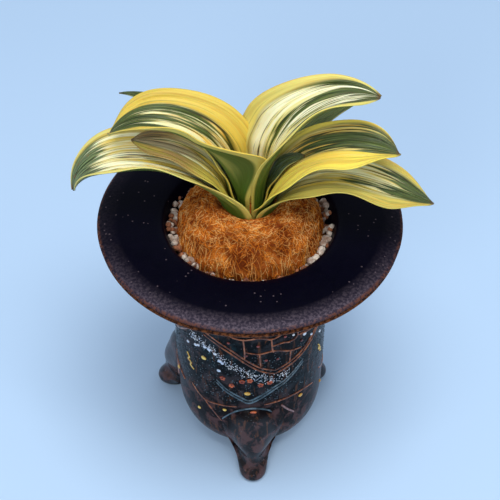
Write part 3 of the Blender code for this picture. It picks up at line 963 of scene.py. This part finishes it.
def makeLeafUpper(name, seed, look):
    # cream and gold with dark green lengthwise streaks; U runs across the blade and V along it
    made, shader = startMaterial(
        name, 0.42, Specular_IOR_Level=0.35, Subsurface_Weight=0.1, Subsurface_Scale=0.002)
    across, along, _ = split(place(shader, (1, 1, 1), "UV"))
    if look["nearAtZero"]:
        across = reckon("SUBTRACT", 1.0, across)
    grains = leafGrains(shader, seed)
    broad, streak, hair, thread = (grains[grain] for grain in ("broad", "streak", "hair", "thread"))
    inside, outline = leafMasks(shader, seed, look, across, along)

    pale = lay(look["cream"], fadeIn(streak, 0.4, 0.62), look["gold"])
    pale = lay(pale, fadeIn(thread, 0.56, 0.68, 0.5), leafPaint["dryThread"])
    deep = lay(look["dark"], fadeIn(hair, 0.35, 0.65), look["light"])
    color = lay(pale, greenMask(grains, look, along, inside), deep)
    rim = lay(look["margin"], fadeIn(hair, 0.4, 0.7, 0.45), leafPaint["rimStraw"])
    rim = lay(rim, fadeIn(streak, 0.5, 0.62, 0.55), leafPaint["rimAmber"])
    rim = lay(rim, fadeOut(thread, 0.34, 0.42, 0.45), leafPaint["rimOlive"])
    rim = lay(rim, fadeIn(broad, 0.5, 0.75, 0.4), leafPaint["rimDull"])
    color = lay(rim, inside, color)
    color = lay(color, times(outline, 0.4), leafPaint["edgeLine"])
    # thin dark lines of painted shade, for the creases between the pleats
    creaseShade = times(fadeOut(thread, 0.36, 0.41, smooth=False), inside)
    color = lay(color, times(creaseShade, 0.9), leafPaint["creaseShade"])
    sheath = addRamp(along, [(0.0, 0.85), (0.1, 0.6), (0.3, 0.0), (1.0, 0.0)])
    color = lay(color, times(sheath, inside), leafPaint["sheath"])
    tanned = fadeIn(along, 0.42, 0.66, look["tan"])
    tanned = times(tanned, fadeOut(broad, 0.5, 0.62))
    color = lay(color, tanned, leafPaint["tan"])
    speck = bladeNoise(shader, 20, 14, (seed, seed, 3), 3.0)
    specks = times(fadeIn(along, 0.72, 0.86), fadeIn(speck, 0.62, 0.68, 0.8))
    color = lay(color, times(specks, look["specks"]), leafPaint["speck"])
    color = lay(color, fadeIn(along, 0.965, 0.995, 0.8), leafPaint["deadTip"])
    height = times(grains["narrow"], 0.8, times(hair, 0.35))
    dress(shader, color, height, 0.55, 0.0009)
    plug(times(hair, 0.22, 0.3), shader, "Roughness")
    return made


def makeLeafUnder(name, seed, backMargin):
    # green backs with a yellow margin
    made, shader = startMaterial(name, 0.45, Subsurface_Weight=0.1, Subsurface_Scale=0.002)
    across, along, _ = split(place(shader, (1, 1, 1), "UV"))
    middle = reckon("ABSOLUTE", reckon("SUBTRACT", across, 0.5))
    margin = fadeIn(middle, backMargin, backMargin + 0.05)
    hair = bladeNoise(shader, 60, 2, (seed, 0, seed), 2.0)
    broad = bladeNoise(shader, 8, 1.2, (seed, seed, 0), 3.0, 0.5)
    green = lay(leafPaint["backDeep"], hair, leafPaint["backGreen"])
    green = lay(green, fadeIn(broad, 0.5, 0.7, 0.7), leafPaint["backStraw"])
    sheath = addRamp(along, [(0.0, 1.0), (0.16, 0.7), (0.34, 0.0), (1.0, 0.0)])
    green = lay(green, times(sheath, 0.85), leafPaint["backSheath"])
    color = lay(green, margin, leafPaint["backRim"])
    dress(shader, color, hair, 0.3, 0.0004)
    return made


glazePaint = {
    "tealDeep": paint(4, 9, 13), "teal": paint(17, 37, 43), "brownDeep": paint(20, 12, 13),
    "brown": paint(82, 54, 52), "rustRun": paint(104, 62, 38), "ashGrit": paint(92, 106, 112),
    # the two lip shades are a painted sheen on the brim's lip, not a colour of the glaze
    "brimDeep": paint(1, 1, 9), "brim": paint(3, 2, 18), "lipSheenDark": paint(50, 44, 56),
    "lipSheenPale": paint(100, 88, 98), "wornEdge": paint(96, 56, 40), "beadDark": paint(40, 20, 13),
    "bead": paint(122, 70, 38), "speck": paint(120, 104, 110),
}


def makeGlaze():
    # navy-black brim, coppery lip and a mottled teal and brown body, told apart by height and reach
    made, shader = startMaterial("darkGlaze", 0.3, Specular_IOR_Level=0.05, Coat_Roughness=0.08)
    vector = place(shader)
    x, y, z = split(vector)

    def between(value, low, high):
        above = reckon("SUBTRACT", value, low * mm)
        return reckon("DIVIDE", above, (high - low) * mm, clamp=True)

    def less(value):
        return reckon("SUBTRACT", 1.0, value)

    reach = reckon("SQRT", reckon("ADD", times(x, x), times(y, y)))
    mottle = addNoise(vector, 170, 4.0, 0.62, 0.5)
    cloud = addNoise(vector, 42, 3.0, 0.55, 0.8)
    grit = addNoise(vector, 900, 3.0, 0.65)
    runs = addNoise(place(shader, (1, 1, 0.22)), 420, 3.0, 0.6, 0.7)
    upper = between(z, brimTop - 24, brimTop - 14)

    # the body, teal above and brown round the feet
    teal = lay(glazePaint["tealDeep"], fadeIn(mottle, 0.44, 0.64), glazePaint["teal"])
    brown = lay(glazePaint["brownDeep"], fadeIn(mottle, 0.46, 0.6), glazePaint["brown"])
    low = times(less(between(z, 33, 50)), 0.85)
    clouded = times(reckon("MULTIPLY_ADD", cloud, 2.4, -0.95, clamp=True), 0.6)
    body = lay(teal, reckon("MAXIMUM", low, clouded), brown)
    body = lay(body, fadeIn(runs, 0.56, 0.68, 0.55), glazePaint["rustRun"])
    body = lay(body, fadeIn(grit, 0.62, 0.72, 0.35), glazePaint["ashGrit"])
    color = lay(body, upper, lay(glazePaint["brimDeep"], mottle, glazePaint["brim"]))

    # the brim's rounded lip, greyer towards the front: a painted sheen, the soft reflection of the overhead
    # light, with its worn edge and the bead beneath it
    # these masks place the painted sheen: all round the lip, strongest at the front
    front = times(between(y, -14, -56), 0.8, 0.14)
    lipSheen = times(between(reach, 52.5, 59.6), between(z, brimTop - 3, brimTop - 1.9))
    lipSheenColor = lay(glazePaint["lipSheenDark"], fadeIn(grit, 0.38, 0.7), glazePaint["lipSheenPale"])
    color = lay(color, times(lipSheen, front), lipSheenColor)
    worn = fadeIn(times(cloud, 0.5, grit), 0.62, 0.9)
    worn = times(between(reach, brimRadius - 1.6, brimRadius - 0.6), worn)
    color = lay(color, worn, glazePaint["wornEdge"])
    under = less(between(z, brimTop - 4.6, brimTop - 3.6))
    bead = times(times(under, between(reach, brimRadius - 5, brimRadius - 2)), 0.95)
    beadColor = lay(glazePaint["beadDark"], fadeIn(grit, 0.38, 0.62), glazePaint["bead"])
    color = lay(color, bead, beadColor)

    dots = reckon("LESS_THAN", addVoronoi(vector, 360), 0.12)
    some = reckon("GREATER_THAN", addNoise(vector, 60, 1.0), 0.5)
    color = lay(color, times(times(dots, some), 0.4), glazePaint["speck"])
    gloss = times(mottle, 0.22, times(upper, 0.2, 0.12))
    plug(gloss, shader, "Roughness")
    onLegs = times(between(reach, 32.4, 34), less(upper))
    plug(times(onLegs, 0.5), shader, "Coat Weight")
    relief = reckon("ADD", mottle, reckon("ADD", times(grit, 0.3), runs))
    calmBrim = times(upper, -0.75, 1.0)
    dress(shader, color, times(relief, calmBrim), 0.3, 0.0008)
    return made


slipPaints = {                   # dark shade, pale shade, roughness and metal
    "copperSlip": (paint(84, 38, 20), paint(166, 94, 52), 0.28, 0.1),
    "tealSlip": (paint(34, 56, 66), paint(84, 108, 120), 0.3, 0.0),
    "pinkSlip": (paint(120, 78, 74), paint(170, 128, 122), 0.3, 0.0),
    "whiteSlip": (paint(206, 220, 240), paint(250, 252, 255), 0.15, 0.0),
    "orangeSlip": (paint(140, 48, 18), paint(220, 104, 44), 0.3, 0.0),
    "yellowSlip": (paint(206, 146, 44), paint(248, 214, 110), 0.3, 0.0),
    "redSlip": (paint(80, 26, 28), paint(150, 58, 48), 0.3, 0.0),
}


def makeSlip(name, dark, pale, roughness, metallic):
    made, shader = startMaterial(
        name, roughness, Metallic=metallic, Coat_Weight=0.3, Coat_Roughness=0.1)
    cloud = addNoise(place(shader), 420, 3.0, 0.6)
    tint = lay(dark, fadeIn(cloud, 0.38, 0.62), pale)
    dress(shader, tint, cloud, 0.25, 0.0004)
    return made


mossPaints = {                   # light, dark and rusty shade
    "mossFelt": (paint(210, 120, 46), paint(116, 52, 18), paint(164, 78, 24)),
    "mossFibreAmber": (paint(248, 156, 56), paint(200, 106, 28), paint(234, 128, 40)),
    "mossFibreRust": (paint(206, 102, 28), paint(132, 54, 12), paint(172, 76, 20)),
    "mossFibreStraw": (paint(252, 200, 124), paint(206, 134, 64), paint(236, 164, 88)),
}


def makeMoss(name, light, dark, rust):
    made, shader = startMaterial(name, 0.95, Specular_IOR_Level=0.1)
    clump = addNoise(place(shader), 110, 4.0, 0.65, 0.5)
    thread = addNoise(place(shader, (1, 1, 3)), 780, 4.0, 0.7, 1.5)
    color = lay(dark, fadeIn(clump, 0.36, 0.66), light)
    color = lay(color, fadeIn(thread, 0.5, 0.72, 0.8), rust)
    height = reckon("ADD", clump, times(thread, 0.6))
    dress(shader, color, height, 0.8, 0.0012)
    return made


stonePaints = {                  # light shade, dark shade and how fine the grain is
    "whitePumice": (paint(222, 208, 192), paint(150, 122, 104), 420),
    "brownPumice": (paint(168, 104, 66), paint(92, 52, 34), 420),
    "pumiceBulk": (paint(206, 196, 180), paint(120, 104, 88), 260),
}


def makeStone(name):
    light, dark, scale = stonePaints[name]
    made, shader = startMaterial(name, 0.85)
    vector = place(shader)
    cloud = addNoise(vector, scale * 0.7, 3.0, 0.6)
    pores = addVoronoi(vector, scale * 5)
    color = lay(dark, fadeIn(cloud, 0.35, 0.65), light)
    # the pores are painted darker: painted shade in the pits
    pitShade = addRamp(pores, [(0.0, 0.6), (0.2, 0.0), (1.0, 0.0)])
    color = lay(color, pitShade, dark)
    dress(shader, color, reckon("ADD", pores, cloud), 0.5, 0.0005)
    return made


def makeSkin(name, light, dark, roughness, scale):
    made, shader = startMaterial(name, roughness)
    cloud = addNoise(place(shader, (1, 1, 0.4)), scale, 4.0, 0.6)
    dress(shader, lay(dark, cloud, light), cloud, 0.3, 0.0006)
    return made


def dressHiddenNodes():
    # what the pot holds keeps its CAD shape and gets a finish of its own
    bulk = makeStone("pumiceBulk")
    roots = makeSkin("rootSkin", paint(226, 214, 176), paint(168, 142, 92), 0.6, 340)
    net = makeSkin("blackNetPlastic", paint(34, 34, 36), paint(16, 16, 18), 0.5, 900)
    for name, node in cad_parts.items():
        if name.startswith("gravel_") and name != "gravel_top":
            finish = bulk
        elif name.startswith("root_") or name == "rhizome":
            finish = roots
        elif name == "drain_net":
            finish = net
        else:
            continue
        node.data.materials.clear()
        node.data.materials.append(finish)


rng = random.Random(20)
setCamera()
setWorld()
setSoftboxes()
layFloor()
print("camera, light and floor set")

glaze = makeGlaze()
buildPot(glaze)
buildFeet(glaze)
print("pot and feet turned")

slips = {name: makeSlip(name, *finish) for name, finish in slipPaints.items()}
buildSlipLines(slips)
buildSlipDrops(slips, rng)
print("slip decoration laid")

buildGravel(makeStone("whitePumice"), makeStone("brownPumice"), rng)
felt, *fibreFinishes = [makeMoss(name, *shades) for name, shades in mossPaints.items()]
buildMoss(felt)
buildFibres(fibreFinishes, rng)
print("moss and pumice laid")

for name, row in leaves.items():
    leaf = {**plainLeaf, **row}
    look = {**leafLook, **leafLooks[name], "nearAtZero": abs(leaf["azimuth"]) < 90}
    stem = "leafFace" + "".join(word.capitalize() for word in name.split("_")[1:])
    upper = makeLeafUpper(stem, leaf["seed"], look)
    under = makeLeafUnder(stem.replace("Face", "Back"), leaf["seed"], look["backMargin"])
    buildLeaf(name, leaf, upper, under)
print("leaves grown")

dressHiddenNodes()
bpy.context.view_layer.update()
